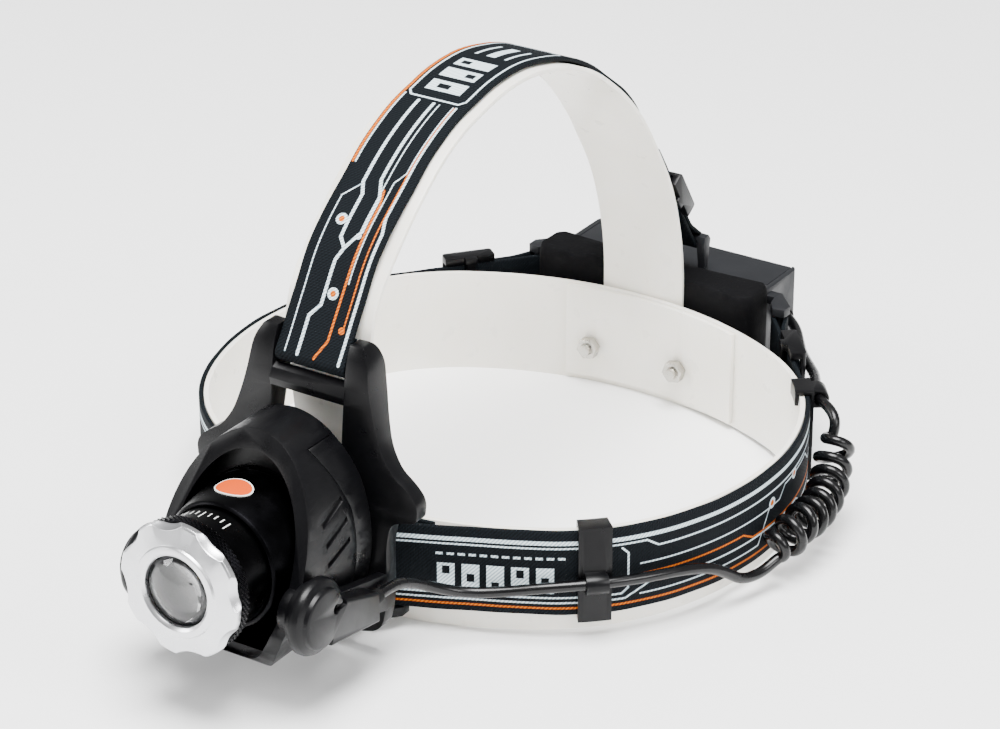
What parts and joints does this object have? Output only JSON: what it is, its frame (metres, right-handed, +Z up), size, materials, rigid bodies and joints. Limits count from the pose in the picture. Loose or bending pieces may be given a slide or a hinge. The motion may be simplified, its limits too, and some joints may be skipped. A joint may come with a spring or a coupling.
{
  "type": "headlamp",
  "caption": "Headlamp on a white head former: tilting zoom lamp on a front bracket, side and crown straps, battery box behind and a curly cord between them.",
  "frame": {"origin": "centre of the head opening, in the plane of the former's lower edge", "axes": "+Z up towards the crown, -Y forward out of the lamp, +X to the side with the cord"},
  "size_m": [0.2144, 0.3051, 0.1562],
  "materials": {
    "former": "translucent, slightly glossy",
    "black_plastic": "satin",
    "grey_plastic": "satin",
    "webbing": "woven elastic, printed",
    "foam": "soft padded",
    "steel": "plated",
    "silver": "satin anodised",
    "black_metal": "black anodised",
    "board": "solder resist",
    "led_plate": "white coated",
    "phosphor": "phosphor under silicone",
    "lens": "clear",
    "rubber": "matt",
    "cord": "smooth, slightly glossy",
    "cell": "can in a shrink sleeve",
    "indicator": "clear window"
  },
  "bodies": {
    "bracket_and_straps": {"hoop_band": "former", "hoop_lap": "former", "hoop_bolts": "steel", "hoop_nuts": "steel", "crown_strip": "former", "front_bracket": "black_plastic", "bracket_pad": "foam", "hinge_pin_right": "steel", "hinge_pin_left": "steel", "hinge_cap_right": "black_plastic", "hinge_cap_left": "black_plastic", "strain_relief": "rubber", "strap_right": "webbing", "strap_left": "webbing", "crown_strap": "webbing", "battery_pad": "foam", "battery_case": "grey_plastic", "battery_cells": "cell", "contact_springs": "steel", "contact_plates": "steel", "circuit_board": "board", "charge_socket": "steel", "charge_light": "indicator", "cord_gland": "rubber", "cord_lead": "cord", "cord_coil": "cord", "cord_tail": "cord", "clip_front": "black_plastic", "clip_rear": "black_plastic"},
    "lamp_head": {"shell_front": "black_plastic", "shell_rear": "black_plastic", "bulkhead": "black_plastic", "bulkhead_screws": "steel", "lamp_collar": "black_metal", "collar_ring": "black_metal", "led_board": "led_plate", "led": "phosphor", "driver_board": "board"},
    "zoom_barrel": {"zoom_sleeve": "black_metal", "zoom_oring": "rubber", "knurled_ring": "black_metal", "bezel": "silver", "lens": "lens"},
    "power_button": {"power_button": "rubber"},
    "battery_cover": {"battery_cover": "grey_plastic"},
    "adjuster_right": {"adjuster_right": "black_plastic"},
    "adjuster_left": {"adjuster_left": "black_plastic"},
    "adjuster_crown": {"adjuster_crown": "black_plastic"}
  },
  "joints": [
    {"name": "lamp_tilt", "type": "hinge", "parent": "bracket_and_straps", "child": "lamp_head", "pos_m": [0, -0.149, 0.035], "axis": [1, 0, 0], "range_deg": [0, 50]},
    {"name": "zoom_slide", "type": "slide", "parent": "lamp_head", "child": "zoom_barrel", "axis": [0, -0.9987, 0.0506], "range_m": [-0.008, 0]},
    {"name": "button_press", "type": "slide", "parent": "bracket_and_straps", "child": "power_button", "axis": [1, 0, 0], "range_m": [0, 0.0007], "stiffness_N_per_m": 900, "springref_m": -0.0005},
    {"name": "cover_slide", "type": "slide", "parent": "bracket_and_straps", "child": "battery_cover", "axis": [0, 0, 1], "range_m": [0, 0.04]},
    {"name": "adjuster_right_slide", "type": "slide", "parent": "bracket_and_straps", "child": "adjuster_right", "axis": [-0.6413, 0.7673, 0], "range_m": [-0.004, 0.005]},
    {"name": "adjuster_left_slide", "type": "slide", "parent": "bracket_and_straps", "child": "adjuster_left", "axis": [0.6413, 0.7673, 0], "range_m": [-0.004, 0.005]},
    {"name": "adjuster_crown_slide", "type": "slide", "parent": "bracket_and_straps", "child": "adjuster_crown", "axis": [0, 0.5393, -0.8421], "range_m": [-0.004, 0.008]}
  ]
}
